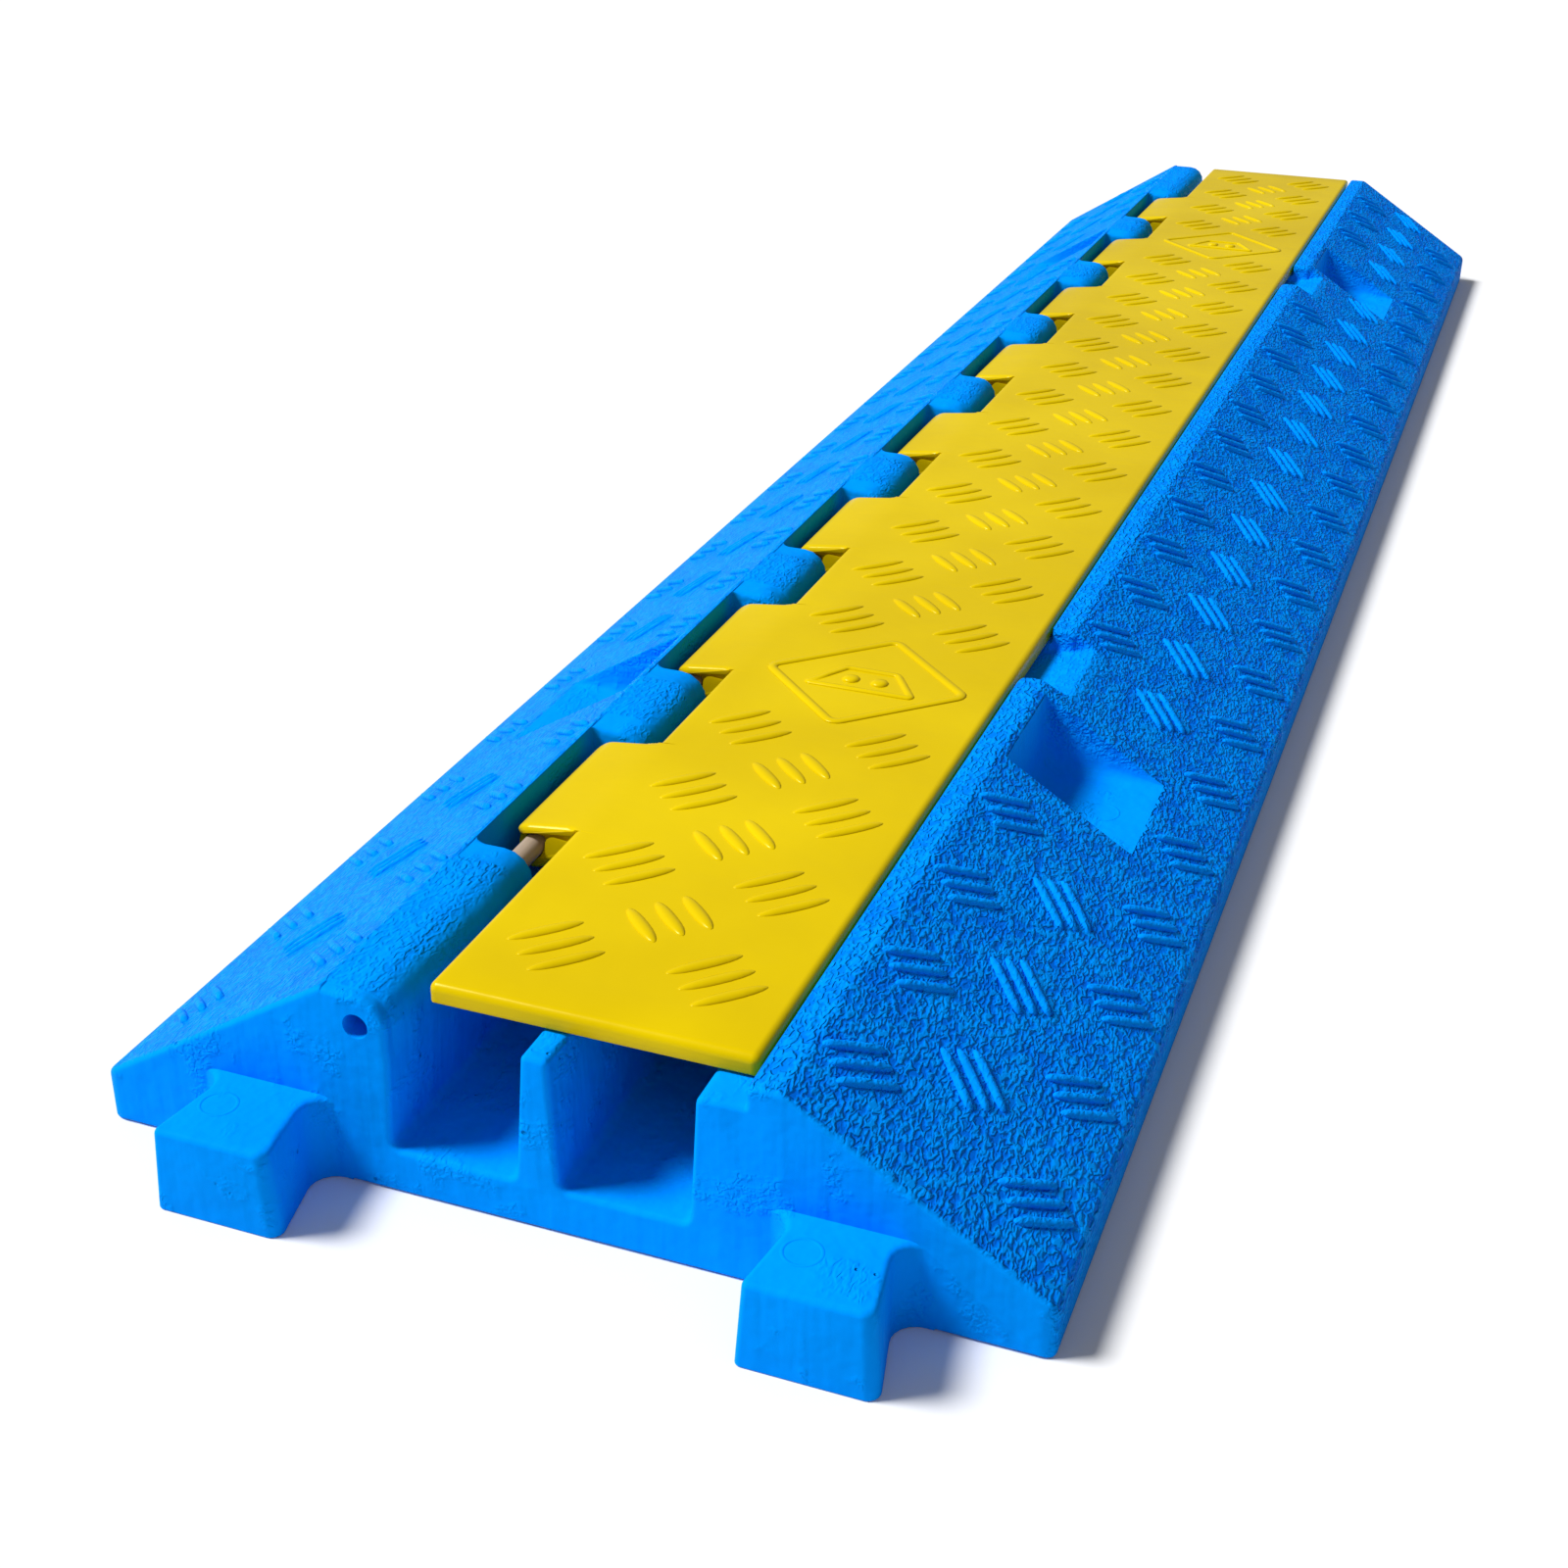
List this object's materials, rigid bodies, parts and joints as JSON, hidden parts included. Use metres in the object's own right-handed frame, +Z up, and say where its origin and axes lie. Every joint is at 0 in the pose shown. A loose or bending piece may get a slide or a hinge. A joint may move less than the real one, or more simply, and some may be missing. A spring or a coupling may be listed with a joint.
{
  "type": "cable protector ramp",
  "caption": "Blue cable protector ramp with cable channels under a yellow hinged lid, dovetail lugs at one end and sockets at the other.",
  "frame": {"origin": "on the floor, below the centre of the base moulding without its lugs", "axes": "+X across the ramp away from the hinge side, +Y along the ramp towards the sockets, +Z up"},
  "size_m": [0.242, 1.026, 0.054],
  "materials": {
    "blue_moulding": "satin, leather grain on the treads",
    "yellow_moulding": "smooth, semi-gloss",
    "fibreglass": "dull"
  },
  "bodies": {
    "base": {"base_moulding": "blue_moulding", "hinge_rod": "fibreglass"},
    "lid": {"lid": "yellow_moulding"}
  },
  "joints": [
    {"name": "lid_hinge", "type": "hinge", "parent": "base", "child": "lid", "pos_m": [-0.0475, 0, 0.0455], "axis": [0, -1, 0], "range_deg": [0, 95]}
  ]
}
